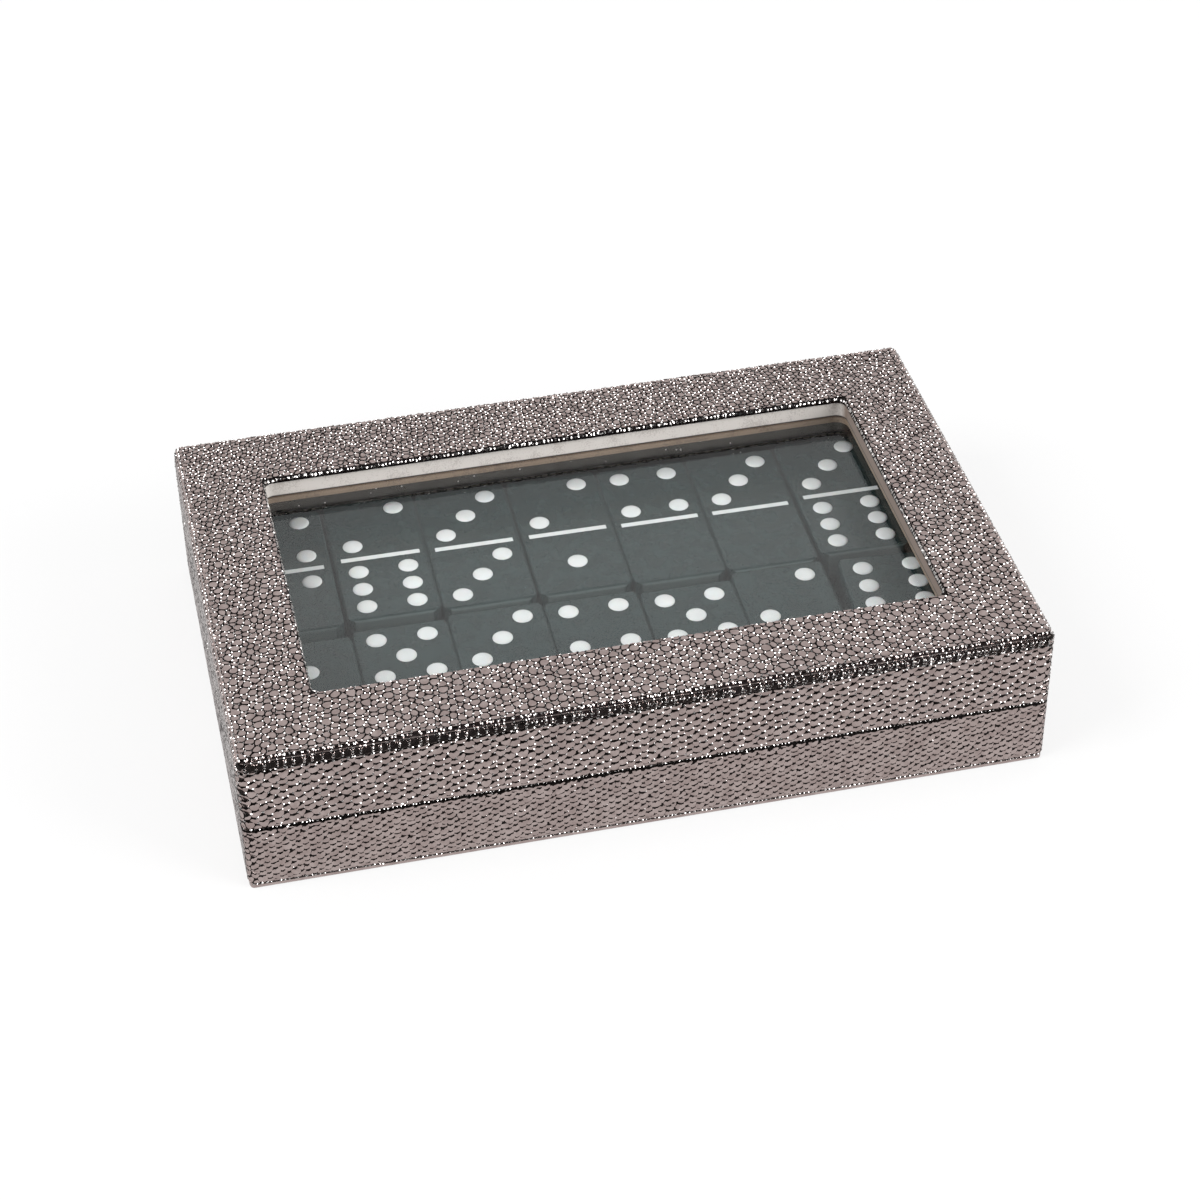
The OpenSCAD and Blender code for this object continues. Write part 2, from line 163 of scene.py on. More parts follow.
# Pewter foil: a vacuum-metallised film pressed on with the grain, smooth and
# slightly purple-grey.
pewter_foil, tree, shader = new_material("pewter_foil", Metallic=1.0, Roughness=0.2)
place = node(tree, "ShaderNodeTexCoord").outputs["Object"]
cast = node(tree, "ShaderNodeTexNoise", Vector=place, Scale=450.0, Detail=2.0)
shade = node(tree, "ShaderNodeValToRGB", {"stops": [(0.35, "#baa8a4"), (0.65, "#d1c0bc")]}, Fac=cast)
orange_peel = node(tree, "ShaderNodeTexNoise", Vector=place, Scale=1500.0, Detail=2.0)
relief = node(tree, "ShaderNodeBump", Height=orange_peel, Distance=0.00001)
feed(shader, Base_Color=shade, Normal=relief)

# The beads: a paler, more neutral copy of the same film, so that their glints read white, a painted
# highlight.
highlight_foil, tree, shader = new_material("highlight_foil", Metallic=1.0, Roughness=0.16)
place = node(tree, "ShaderNodeTexCoord").outputs["Object"]
cast = node(tree, "ShaderNodeTexNoise", Vector=place, Scale=400.0, Detail=2.0)
shade = node(tree, "ShaderNodeValToRGB", {"stops": [(0.35, "#d2cdcb"), (0.65, "#e0dcda")]}, Fac=cast)
feed(shader, Base_Color=shade)

# The groove floor: the same film, duller, and painted dark in the grooves as painted shade.
# Where the film is flat, at the rims, it keeps its shine and a fine grain, its creases painted darker as
# shade.
groove_foil_shaded, tree, shader = new_material("groove_foil_painted_shade", Metallic=1.0)
place = node(tree, "ShaderNodeTexCoord").outputs["Object"]
height = node(tree, "ShaderNodeSeparateXYZ", Vector=place).outputs["Z"]
from_seam = node(tree, "ShaderNodeMath", {"operation": "SUBTRACT"}, i0=height, i1=SEAM)
from_seam = node(tree, "ShaderNodeMath", {"operation": "ABSOLUTE"}, i0=from_seam)
at_rim = node(tree, "ShaderNodeMath", {"operation": "LESS_THAN"}, i0=from_seam, i1=0.0003)
pressed = node(tree, "ShaderNodeTexVoronoi", {"feature": "DISTANCE_TO_EDGE"}, Vector=place, Scale=480.0)
flat_film = node(tree, "ShaderNodeValToRGB", {"stops": [(0.04, "#4a4240"), (0.12, "#a89993")]}, Fac=pressed)
# Painted shade: the grooves away from the rims are dark, and the fine grain's creases at the rims are darker.
shade = node(tree, "ShaderNodeMix", {"data_type": "RGBA"}, i0=at_rim, i6=linear("#2c2726"), i7=flat_film)
dull = node(tree, "ShaderNodeMix", i0=at_rim, i2=0.4, i3=0.3)
relief = node(tree, "ShaderNodeBump", Height=pressed, Strength=0.6, Distance=0.0002)
feed(shader, Base_Color=shade.outputs[2], Roughness=dull, Normal=relief)
for name in ("base_cover", "lid_cover"):
    dress(name, groove_foil_shaded)
dress("base_plate_cover", pewter_foil)


def around(half_w, half_d, r, s):
    """The point at distance s round a rounded rectangle, anticlockwise from the
    middle of the right-hand side, and the outward direction there."""
    side = 2 * (half_d - r)
    front = 2 * (half_w - r)
    bend = math.pi / 2 * r
    s = s % (2 * (side + front) + 4 * bend)
    s -= side / 2
    if s < 0:
        return Vector((half_w, s + side / 2, 0)), Vector((1, 0, 0))
    corners = ((front, 1, 1), (side, -1, 1), (front, -1, -1), (side, 1, -1))
    for turn, (length, cx, cy) in enumerate(corners):
        centre = Vector((cx * (half_w - r), cy * (half_d - r), 0))
        start = turn * math.pi / 2
        if s < bend:
            a = start + s / r
            out = Vector((math.cos(a), math.sin(a), 0))
            return centre + out * r, out
        s -= bend
        out = Vector((math.cos(start + math.pi / 2), math.sin(start + math.pi / 2), 0))
        along = Vector((-out.y, out.x, 0))
        if s < length:
            return centre + out * r + along * s, out
        s -= length
    return Vector((half_w, -side / 2 + s, 0)), Vector((1, 0, 0))


def girth(half_w, half_d, r):
    """The distance right round a rounded rectangle."""
    return 4 * (half_w + half_d - 2 * r) + 2 * math.pi * r


CASE_GIRTH = girth(CASE_W / 2, CASE_D / 2, CORNER_R)


def on_wall(s, v):
    """The point of the side covering at distance s round the case, and its
    facing: v is the height, and past the foot of the rolled top edge it goes
    on along the roll."""
    rise = max(0.0, v - ROLL_FOOT) / CORNER_R
    inset = CORNER_R * (1 - math.cos(rise))
    hw, hd, r = CASE_W / 2 - inset, CASE_D / 2 - inset, max(CORNER_R - inset, TIGHTEST)
    p, out = around(hw, hd, r, s / CASE_GIRTH * girth(hw, hd, r))
    z = v if rise == 0 else CASE_H - CORNER_R * (1 - math.sin(rise))
    return Vector((p.x, p.y, z)), out * math.cos(rise) + Vector((0, 0, math.sin(rise)))


def on_top(x, y):
    """The point of the lid's top there, and its facing."""
    return Vector((x, y, CASE_H)), Vector((0, 0, 1))


def middle(outline):
    """The mean of an outline's corners."""
    return (sum(x for x, y in outline) / len(outline),
            sum(y for x, y in outline) / len(outline))


def cut(outline, nx, ny, limit):
    """The part of a convex outline where nx * x + ny * y is within the limit."""
    kept = []
    for k, (x, y) in enumerate(outline):
        px, py = outline[k - 1]
        here, before = nx * x + ny * y - limit, nx * px + ny * py - limit
        if (here > 0) != (before > 0):
            t = before / (before - here)
            kept.append((px + t * (x - px), py + t * (y - py)))
        if here <= 0:
            kept.append((x, y))
    return kept


def grain(rng, x_low, x_high, y_low, y_high, pitch, wrap=0.0, scatter=0.24, spread=0.16,
          bounds=None, finer=0.0):
    """Outlines of pebbles that fill a region, as shagreen does: every pebble
    takes the ground that is nearest to it, and some are larger than others.
    They are larger by the share finer at y_low, and smaller by it at y_high."""
    narrower = 0.866   # columns stand closer than rows, as in a honeycomb
    least = 0.12       # the least share of a pebble that is worth keeping
    rows = max(1, round((y_high - y_low) / pitch))
    one = rows == 1
    columns = 2 * round((x_high - x_low) / (pitch if one else pitch * narrower) / 2)
    step_x = (x_high - x_low) / columns
    more = math.ceil(columns * finer / (1 - finer) / 2)
    spots = {}
    for row in range(-1, rows + 1):
        for column in range(-more, columns + more):
            across = column + 0.5 + rng.uniform(-scatter, scatter) - columns / 2
            if one:
                share = (row + 0.5) / rows
            else:
                share = (row + 0.25 + column % 2 * 0.5 + rng.uniform(-scatter, scatter)) / rows
            grow = 1 + finer - 2 * finer * share
            spots[row, column] = ((x_low + x_high) / 2 + across * step_x * grow,
                                  y_low + (y_high - y_low) * share * (1 + finer * (1 - share)),
                                  rng.uniform(-spread, spread) * (pitch * grow) ** 2)
    outlines = []
    for (row, column), (x, y, weight) in spots.items():
        if one and row != 0:
            continue
        outline = [(x - pitch, y - pitch), (x + pitch, y - pitch),
                   (x + pitch, y + pitch), (x - pitch, y + pitch)]
        for other_row in ((row,) if one else (row - 2, row - 1, row, row + 1, row + 2)):
            for shift in (-2, -1, 0, 1, 2):
                other = column + shift
                hop = 0.0
                if wrap:
                    hop = wrap * (other // columns)
                    other %= columns
                if (other_row, other) not in spots or (other_row == row and shift == 0):
                    continue
                ox, oy, other_weight = spots[other_row, other]
                nx, ny = ox + hop - x, oy - y
                limit = (nx * nx + ny * ny + weight - other_weight) / 2 + nx * x + ny * y
                outline = cut(outline, nx, ny, limit)
                if not outline:
                    break
            if not outline:
                break
        for nx, ny, limit in ((0, -1, -y_low), (0, 1, y_high)) + (bounds(x, y) if bounds else ()):
            outline = cut(outline, nx, ny, limit)
        size = sum(outline[k - 1][0] * q[1] - q[0] * outline[k - 1][1]
                   for k, q in enumerate(outline)) / 2
        if size > least * pitch * pitch:
            outlines.append(outline)
    return outlines


def soften(outline, corner, gap):
    """A pebble's foot: its outline drawn in by the gap, with its corners cut."""
    near = 0.00022   # corners closer than this are one
    most = 0.4       # the share of its reach that the gap may take
    corners = []
    for x, y in outline:
        if not corners or math.hypot(x - corners[-1][0], y - corners[-1][1]) > near:
            corners.append((x, y))
    if math.hypot(corners[0][0] - corners[-1][0], corners[0][1] - corners[-1][1]) < near:
        corners.pop()
    soft = []
    for k, (x, y) in enumerate(corners):
        for ox, oy in (corners[k - 1], corners[(k + 1) % len(corners)]):
            soft.append((x + corner * (ox - x), y + corner * (oy - y)))
    cx, cy = middle(outline)
    kept = [1 - min(most, gap / max(math.hypot(x - cx, y - cy), 1e-6)) for x, y in soft]
    return [(cx + (x - cx) * k, cy + (y - cy) * k) for (x, y), k in zip(soft, kept)]


def pebble_tree():
    """Raises a pebble on every cell: a steep foot out of the groove, which may
    lean, and a bevel up to its flat top, as wide as the draw says."""
    tree = bpy.data.node_groups.new("pebbles_on_cells", "GeometryNodeTree")
    for name, kind in (("Cells", "NodeSocketGeometry"), ("Relief", "NodeSocketFloat"),
                       ("Foot", "NodeSocketFloat"), ("Sink", "NodeSocketFloat"),
                       ("Spread", "NodeSocketFloat"), ("Seed", "NodeSocketInt"),
                       ("Foil", "NodeSocketMaterial"), ("Bevel_Foil", "NodeSocketMaterial")):
        tree.interface.new_socket(name, in_out="INPUT", socket_type=kind)
    tree.interface.new_socket("Pebbles", in_out="OUTPUT", socket_type="NodeSocketGeometry")
    given = node(tree, "NodeGroupInput").outputs
    facing, draw, lean = [
        node(tree, "GeometryNodeInputNamedAttribute", {"data_type": kind}, Name=name)
        for name, kind in (("facing", "FLOAT_VECTOR"), ("draw", "FLOAT_VECTOR"), ("lean", "FLOAT"))]

    # The cell sinks a little into the floor, and its foot rises out of it.
    minus = node(tree, "ShaderNodeMath", {"operation": "MULTIPLY"}, i0=given["Sink"], i1=-1.0)
    down = node(tree, "ShaderNodeVectorMath", {"operation": "SCALE"}, i0=facing, Scale=minus)
    sunk = node(tree, "GeometryNodeSetPosition", Geometry=given["Cells"], Offset=down)
    up = node(tree, "ShaderNodeMath", {"operation": "ADD"}, i0=given["Sink"], i1=given["Foot"])
    foot = node(tree, "GeometryNodeExtrudeMesh", {"mode": "FACES"}, Mesh=sunk, Offset=facing,
                Offset_Scale=up, Individual=True)
    lower = node(tree, "ShaderNodeVectorMath", {"operation": "SCALE"}, i0=facing, Scale=lean)
    leaning = node(tree, "GeometryNodeSetPosition", Geometry=foot, Selection=foot.outputs["Top"],
                   Offset=lower)

    # The bevel takes the rest of the height, a little less on some pebbles.
    least = node(tree, "ShaderNodeMath", {"operation": "SUBTRACT"}, i0=1.0, i1=given["Spread"])
    share = node(tree, "FunctionNodeRandomValue", {"data_type": "FLOAT"}, i2=least, i3=1.0,
                 Seed=given["Seed"])
    above = node(tree, "ShaderNodeMath", {"operation": "SUBTRACT"}, i0=given["Relief"], i1=given["Foot"])
    rest = node(tree, "ShaderNodeMath", {"operation": "MULTIPLY"}, i0=above, i1=share.outputs[1])
    crown = node(tree, "GeometryNodeExtrudeMesh", {"mode": "FACES"}, Mesh=leaning,
                 Selection=foot.outputs["Top"], Offset=facing, Offset_Scale=rest, Individual=True)
    drawn_in = node(tree, "GeometryNodeSetPosition", Geometry=crown, Selection=crown.outputs["Top"],
                    Offset=draw)
    steep = node(tree, "FunctionNodeBooleanMath", {"operation": "NOT"}, i0=crown.outputs["Top"])
    marked = node(tree, "GeometryNodeStoreNamedAttribute", {"data_type": "BOOLEAN", "domain": "FACE"},
                  Geometry=drawn_in, Name="steep", Value=steep)

    # The sunken cells, turned over, close the pebbles from below.
    under = node(tree, "GeometryNodeFlipFaces", Mesh=sunk)
    both = node(tree, "GeometryNodeJoinGeometry", Geometry=marked)
    tree.links.new(under.outputs[0], both.inputs[0])
    closed = node(tree, "GeometryNodeMergeByDistance", Geometry=both, Distance=1e-7)
    real = node(tree, "GeometryNodeRealizeInstances", Geometry=closed)
    foiled = node(tree, "GeometryNodeSetMaterial", Geometry=real, Material=given["Foil"])
    # The steep faces of foot and bevel take the second foil; given the groove foil, they are painted dark as
    # shade.
    steep = node(tree, "GeometryNodeInputNamedAttribute", {"data_type": "BOOLEAN"}, Name="steep")
    foiled = node(tree, "GeometryNodeSetMaterial", Geometry=foiled, Selection=steep,
                  Material=given["Bevel_Foil"])
    node(tree, "NodeGroupOutput", Pebbles=foiled)
    return tree


def bead_tree():
    """Sets one of the beads on every seat, turned to the seat's own facing."""
    tree = bpy.data.node_groups.new("beads_on_seats", "GeometryNodeTree")
    for name, kind in (("Seats", "NodeSocketGeometry"), ("Beads", "NodeSocketCollection"),
                       ("Tilt", "NodeSocketFloat"), ("Seed", "NodeSocketInt"),
                       ("Foil", "NodeSocketMaterial")):
        tree.interface.new_socket(name, in_out="INPUT", socket_type=kind)
    tree.interface.new_socket("Beads", in_out="OUTPUT", socket_type="NodeSocketGeometry")
    given = node(tree, "NodeGroupInput").outputs
    seat = {name: node(tree, "GeometryNodeInputNamedAttribute", {"data_type": "FLOAT_VECTOR"},
                       Name=name) for name in ("facing", "along", "size")}
    turned = node(tree, "FunctionNodeAlignRotationToVector", {"axis": "Z"}, Vector=seat["facing"])
    turned = node(tree, "FunctionNodeAlignRotationToVector", {"axis": "X", "pivot_axis": "Z"},
                  Rotation=turned, Vector=seat["along"])
    most = node(tree, "ShaderNodeCombineXYZ", X=given["Tilt"], Y=given["Tilt"], Z=0.3)
    back = node(tree, "ShaderNodeVectorMath", {"operation": "SCALE"}, i0=most, Scale=-1.0)
    chance = node(tree, "FunctionNodeRandomValue", {"data_type": "FLOAT_VECTOR"}, i0=back, i1=most,
                  Seed=given["Seed"])
    tilt = node(tree, "FunctionNodeEulerToRotation", Euler=chance)
    turned = node(tree, "FunctionNodeRotateRotation", {"rotation_space": "LOCAL"},
                  Rotation=turned, Rotate_By=tilt)
    pick = node(tree, "FunctionNodeRandomValue", {"data_type": "INT"}, i4=0, i5=3, Seed=given["Seed"])
    shapes = node(tree, "GeometryNodeCollectionInfo", Collection=given["Beads"],
                  Separate_Children=True, Reset_Children=True)
    placed = node(tree, "GeometryNodeInstanceOnPoints", Points=given["Seats"],
                  Instance=shapes, Pick_Instance=True, Instance_Index=pick.outputs[2],
                  Rotation=turned, Scale=seat["size"])
    real = node(tree, "GeometryNodeRealizeInstances", Geometry=placed)
    foiled = node(tree, "GeometryNodeSetMaterial", Geometry=real, Material=given["Foil"])
    node(tree, "NodeGroupOutput", Beads=foiled)
    return tree


pebbles_on_cells = pebble_tree()
beads_on_seats = bead_tree()


def in_scene(name, data):
    """An object with that data, added to the scene."""
    made = bpy.data.objects.new(name, data)
    bpy.context.collection.objects.link(made)
    return made


def run_tree(name, body, points, faces, attributes, group, values):
    """Runs a node tree on those points and faces and keeps what it makes as a
    plain mesh that rides on a body."""
    mesh = bpy.data.meshes.new(name + "_ground")
    mesh.from_pydata(points, [], faces)
    for title, kind, numbers in attributes:
        layer = mesh.attributes.new(title, kind, "POINT")
        layer.data.foreach_set("vector" if kind == "FLOAT_VECTOR" else "value", numbers)
    holder = in_scene(name + "_ground", mesh)
    modifier = holder.modifiers.new("grain", "NODES")
    modifier.node_group = group
    for item in group.interface.items_tree:
        if item.in_out == "INPUT" and item.name in values:
            modifier[item.identifier] = values[item.name]
    ready = holder.evaluated_get(bpy.context.evaluated_depsgraph_get())
    made = bpy.data.meshes.new_from_object(ready)
    bpy.data.objects.remove(holder)
    for title in [title for title, kind, numbers in attributes] + ["steep"]:
        if title in made.attributes:
            made.attributes.remove(made.attributes[title])
    piece = in_scene(name, made)
    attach(piece, body)


# How the die left a pebble: the gap to the next, the share cut off each corner,
# the share of the relief up to the bevel, the bevel's width at its narrowest and
# its widest, the side where it is widest in degrees, how soon it narrows from
# there, and the lean. A gap below nothing lets the feet of two pebbles meet.
Press = namedtuple("Press", "gap corner foot narrow wide side sharp lean")


def raise_pebbles(name, body, outlines, surface, press, seed, keep=lambda p: True,
                  bevel_foil=pewter_foil):
    """The pebbles of one part of the covering, as the die left them."""
    tilt = 0.02            # most that a pebble's top slopes by chance
    most_inward = 0.75     # the share of a pebble that its bevel may take
    side_x, side_y = math.cos(math.radians(press.side)), math.sin(math.radians(press.side))
    rng = random.Random(seed)
    points, faces, facings, draws, leans = [], [], [], [], []
    for outline in outlines:
        soft = soften(outline, press.corner, press.gap / 2)
        cx, cy = middle(soft)
        if not keep(surface(cx, cy)[0]):
            continue
        tilt_x, tilt_y = rng.uniform(-tilt, tilt), press.lean + rng.uniform(-tilt, tilt)
        highest = max((x - cx) * tilt_x + (y - cy) * tilt_y for x, y in soft)
        first = len(points)
        for x, y in soft:
            p, facing = surface(x, y)
            points.append(tuple(p))
            facings.extend(facing)
            leans.append((x - cx) * tilt_x + (y - cy) * tilt_y - highest)
            reach = math.hypot(x - cx, y - cy)
            turn = max(0.0, (x - cx) / reach * side_x + (y - cy) / reach * side_y)
            bevel = press.narrow + (press.wide - press.narrow) * turn ** press.sharp
            inward = min(most_inward, bevel / reach)
            draws.extend(surface(x + (cx - x) * inward, y + (cy - y) * inward)[0] - p)
        faces.append(range(first, len(points)))
    run_tree(name, body, points, faces,
             (("facing", "FLOAT_VECTOR", facings), ("draw", "FLOAT_VECTOR", draws), ("lean", "FLOAT", leans)),
             pebbles_on_cells,
             {"Relief": RELIEF, "Foot": RELIEF * press.foot, "Sink": 0.0001, "Spread": 0.06, "Seed": seed,
              "Foil": pewter_foil, "Bevel_Foil": bevel_foil})


# A seat for a bead on the covering: where it is, which way the bead is turned,
# and how much wider than long it is.
Seat = namedtuple("Seat", "x y turn width")


def turned_to(side, give, rng):
    """A direction in degrees, give or take a few, as an angle for a bead."""
    return math.radians(side + rng.uniform(-give, give))


def pits_of(outlines, share, seed, side):
    """That share of the pits where pebbles meet: a seat on each, whose bead has
    a facet towards that side."""
    rng = random.Random(seed)
    pits = sorted({(round(x, 4), round(y, 4)) for outline in outlines for x, y in outline})
    return [Seat(x, y, turned_to(side, 14, rng), 1.0) for x, y in pits if rng.random() < share]


def grooves_of(outlines, share, seed, side):
    """That share of the grooves between two pebbles: a seat on each, for a wide
    bead."""
    rng = random.Random(seed)
    shortest = 0.0009   # groove with room for a bead
    wide = 1.35         # how much wider than long such a bead is
    middles = set()
    for outline in outlines:
        for k, (x, y) in enumerate(outline):
            px, py = outline[k - 1]
            if math.hypot(x - px, y - py) > shortest:
                middles.add((round((x + px) / 2, 4), round((y + py) / 2, 4)))
    return [Seat(x, y, turned_to(side, 14, rng), wide) for x, y in sorted(middles) if rng.random() < share]


def shoulders_of(outlines, share, seed, corner, side):
    """That share of the pebbles: a seat at the corner that lies in the one
    direction, whose bead has a facet towards the other."""
    rng = random.Random(seed)
    aim_x, aim_y = math.cos(math.radians(corner)), math.sin(math.radians(corner))
    seats = []
    for outline in outlines:
        if rng.random() < share:
            x, y = max(outline, key=lambda q: q[0] * aim_x + q[1] * aim_y)
            seats.append(Seat(x, y, turned_to(side, 12, rng), 1.0))
    return seats


def spaced(seats, apart):
    """The seats that are left when none stands closer to another than that."""
    kept = {}
    for seat in seats:
        i, j = int(seat.x // apart), int(seat.y // apart)
        close = [kept[i + di, j + dj] for di in (-1, 0, 1) for dj in (-1, 0, 1)
                 if (i + di, j + dj) in kept]
        if all(math.hypot(seat.x - other.x, seat.y - other.y) >= apart for other in close):
            kept[i, j] = seat
    return [kept[key] for key in sorted(kept)]


def plant_beads(name, body, spots, tilt, seed):
    """One of the beads on every spot, which is its place, its facing, the way
    along it and its size."""
    attributes = [(title, "FLOAT_VECTOR", [number for spot in spots for number in spot[k]])
                  for k, title in ((1, "facing"), (2, "along"), (3, "size"))]
    run_tree(name, body, [tuple(spot[0]) for spot in spots], [], attributes, beads_on_seats,
             {"Beads": beads, "Tilt": tilt, "Seed": seed, "Foil": highlight_foil})


def set_beads(name, body, seats, surface, size, height, lift, seed, keep=lambda p: True):
    """A small bead on every seat, lifted a little off the groove floor."""
    ahead = 0.0002   # how far on a point shows which way the bead is turned
    rng = random.Random(seed)
    spots = []
    for x, y, turn, width in seats:
        p, facing = surface(x, y)
        if not keep(p):
            continue
        along = surface(x + ahead * math.cos(turn), y + ahead * math.sin(turn))[0] - p
        grow = size * rng.uniform(0.75, 1.15)
        spots.append((p + facing * lift, facing, along,
                      (grow, grow * width, height * rng.uniform(0.85, 1.15))))
    plant_beads(name, body, spots, 0.09, seed)


# A row of beads round an edge: its distance in from the outline, its height, the
# slope that it faces in degrees, and the pitch and the size of its beads.
BeadRow = namedtuple("BeadRow", "inset z rise pitch size")


def rows_of_beads(name, body, rows, seed, keep=lambda p: True, half_w=CASE_W / 2, half_d=CASE_D / 2,
                  r=CORNER_R, inward=False):
    """Rows of beads right round an edge, facing outwards or in over a window."""
    rng = random.Random(seed)
    hand = -1 if inward else 1
    spots = []
    for row in rows:
        hw, hd, rr = half_w - row.inset, half_d - row.inset, max(r - row.inset, TIGHTEST)
        length = girth(hw, hd, rr)
        count = round(length / row.pitch)
        a = math.radians(row.rise)
        for k in range(count):
            p, out = around(hw, hd, rr, (k + rng.uniform(-0.2, 0.2)) * length / count)
            at = Vector((p.x, p.y, row.z + rng.uniform(-0.1, 0.1) * row.size))
            facing = out * hand * math.cos(a) + Vector((0, 0, math.sin(a)))
            if keep(at):
                spots.append((at + facing * 0.00008, facing, Vector((-out.y, out.x, 0)) * hand,
                              (row.size * rng.uniform(0.8, 1.15), row.size * rng.uniform(0.8, 1.15),
                               RELIEF * rng.uniform(0.3, 0.5))))
    plant_beads(name, body, spots, 0.3, seed)


def skin(bm, rings):
    """Joins a stack of rings of points into one closed solid."""
    bm.faces.new(rings[0][::-1])
    for low, high in zip(rings, rings[1:]):
        for i in range(len(low)):
            j = (i + 1) % len(low)
            bm.faces.new((low[i], low[j], high[j], high[i]))
    bm.faces.new(rings[-1])


def as_mesh(name, bm):
    """What was built, as a mesh of that name."""
    mesh = bpy.data.meshes.new(name)
    bm.to_mesh(mesh)
    bm.free()
    return mesh


# Four beads of unit size: five-sided, with an upright foot and a small flat top.
BEAD_SIDES = 5
beads = bpy.data.collections.new("bead")
rng = random.Random(7)
for variant in range(4):
    bm = bmesh.new()
    angles = [2 * math.pi * (k + 0.5 + rng.uniform(-0.05, 0.05)) / BEAD_SIDES for k in range(BEAD_SIDES)]
    skin(bm, [[bm.verts.new((r * math.cos(a), r * math.sin(a), z)) for a in angles]
              for r, z in ((0.5, -1.2), (0.5, 0.35), (0.12 + 0.02 * variant, 1.0))])
    shape = as_mesh("bead_%d" % variant, bm)
    beads.objects.link(bpy.data.objects.new("bead_%d" % variant, shape))


def clear_of_groove(p, room=0.0009):
    """Whether a place is that far above or below the sloped groove of the hinges."""
    behind = p.y - (CASE_D / 2 - GROOVE_DEPTH)
    return behind < 0 or abs(p.z - SEAM) > behind * GROOVE_FOOT / GROOVE_DEPTH + room


def at_end(p):
    """On the left or right end of the case, or round its corner."""
    return abs(p.x) > CASE_W / 2 - CORNER_R


def side_pebbles(prefix, body, outlines, press, seed):
    """The pebbles of the walls in two pieces: front with back, and the two ends.
    None reaches over the groove, where base and lid meet when it is open."""
    outlines = [outline for outline in outlines
                if all(clear_of_groove(on_wall(x, y)[0], 0.0002) for x, y in outline)]
    # The steep faces of these pebbles take the groove foil, painted dark as shade.
    raise_pebbles(prefix + "_long_pebbles", body, outlines, on_wall, press, seed,
                  lambda p: not at_end(p), groove_foil_shaded)
    raise_pebbles(prefix + "_end_pebbles", body, outlines, on_wall, press, seed + 1,
                  at_end, groove_foil_shaded)


# Base: the walls, with few beads, and a close row of beads where the covering
# rolls over the rim and over the edge of the plate.
rng = random.Random(28)
base_cells = grain(rng, 0, CASE_GIRTH, PLATE_TOP + 0.0004, SEAM - 0.0008, BASE_PITCH,
                   wrap=CASE_GIRTH, scatter=0.26)
side_pebbles("base", "base", base_cells,
             Press(gap=-0.0001, corner=0.25, foot=0.3, narrow=0.00002, wide=0.00105,
                   side=100, sharp=5.5, lean=0.0), seed=3)
set_beads("base_beads", "base", shoulders_of(base_cells, 0.06, seed=4, corner=42, side=60), on_wall,
          size=0.0006, height=0.00024, lift=0.0001, seed=4, keep=clear_of_groove)
rim = BeadRow(inset=0.00023, z=SEAM - 0.00038, rise=45, pitch=0.0010, size=0.0007)
plate_edge = BeadRow(inset=0.00018, z=0.00142, rise=45, pitch=0.0011, size=0.0007)
rows_of_beads("base_rim_beads", "base", (rim, plate_edge), seed=5,
              keep=lambda p: p.y < CASE_D / 2 - GROOVE_DEPTH - 0.0006 or p.z < SEAM / 2)

# Lid: the walls, and one row of pebbles on either side of the crease on the
# rolled top edge, where the covering was folded over.
lid_cells = grain(rng, 0, CASE_GIRTH, SEAM + 0.00025, ROLL_FOOT - 0.0012, LID_PITCH,
                  wrap=CASE_GIRTH, scatter=0.26)
side_pebbles("lid", "lid", lid_cells,
             Press(gap=-0.0001, corner=0.25, foot=0.25, narrow=0.00002, wide=0.00105,
                   side=98, sharp=3.0, lean=0.01), seed=13)
set_beads("lid_beads", "lid", shoulders_of(lid_cells, 0.9, seed=17, corner=42, side=60), on_wall,
          size=0.0008, height=0.0003, lift=0.0001, seed=17, keep=clear_of_groove)
fold_cells = grain(rng, 0, CASE_GIRTH, ROLL_FOOT - 0.0012, ROLL_FOOT + 0.00122, 0.0023, wrap=CASE_GIRTH)
over_cells = grain(rng, 0, CASE_GIRTH, ROLL_FOOT + 0.0021, ROLL_FOOT + 0.0031, 0.0019, wrap=CASE_GIRTH)
raise_pebbles("lid_fold_pebbles", "lid", fold_cells, on_wall,
              Press(gap=0.0004, corner=0.15, foot=0.85, narrow=0.00005, wide=0.00005,
                    side=90, sharp=1.0, lean=-0.1), seed=16)
raise_pebbles("lid_over_pebbles", "lid", over_cells, on_wall,
              Press(gap=0.0002, corner=0.2, foot=0.4, narrow=0.0001, wide=0.0001,
                    side=90, sharp=1.0, lean=0.08), seed=19)
edge_seats = [Seat(x + dx, y + dy, turn, width)
              for x, y, turn, width in pits_of(fold_cells + over_cells, 0.95, seed=18, side=42)
              for dx, dy in ((0, 0), (0.0002, 0.0008 if y < ROLL_FOOT else -0.0008))]
set_beads("lid_edge_beads", "lid", spaced(edge_seats, 0.0006), on_wall,
          size=0.0007, height=0.00016, lift=0.00014, seed=18)

# Towards the right the fold is creased finely, with beads on its pebbles too.
fold_seats = [Seat(x + dx, ROLL_FOOT + dy, turn, width)
              for x, y, turn, width in pits_of(fold_cells, 1.0, seed=26, side=42)
              for dx, dy in ((0.0006, 0.0004), (0.0011, 0.0001), (0.0015, 0.0005), (0.0008, -0.0005))
              if on_wall(x, y)[0].x > rng.uniform(-0.05, 0.09)]
set_beads("lid_fold_beads", "lid", spaced(fold_seats, 0.00045), on_wall,
          size=0.0005, height=0.0001, lift=0.0003, seed=27)

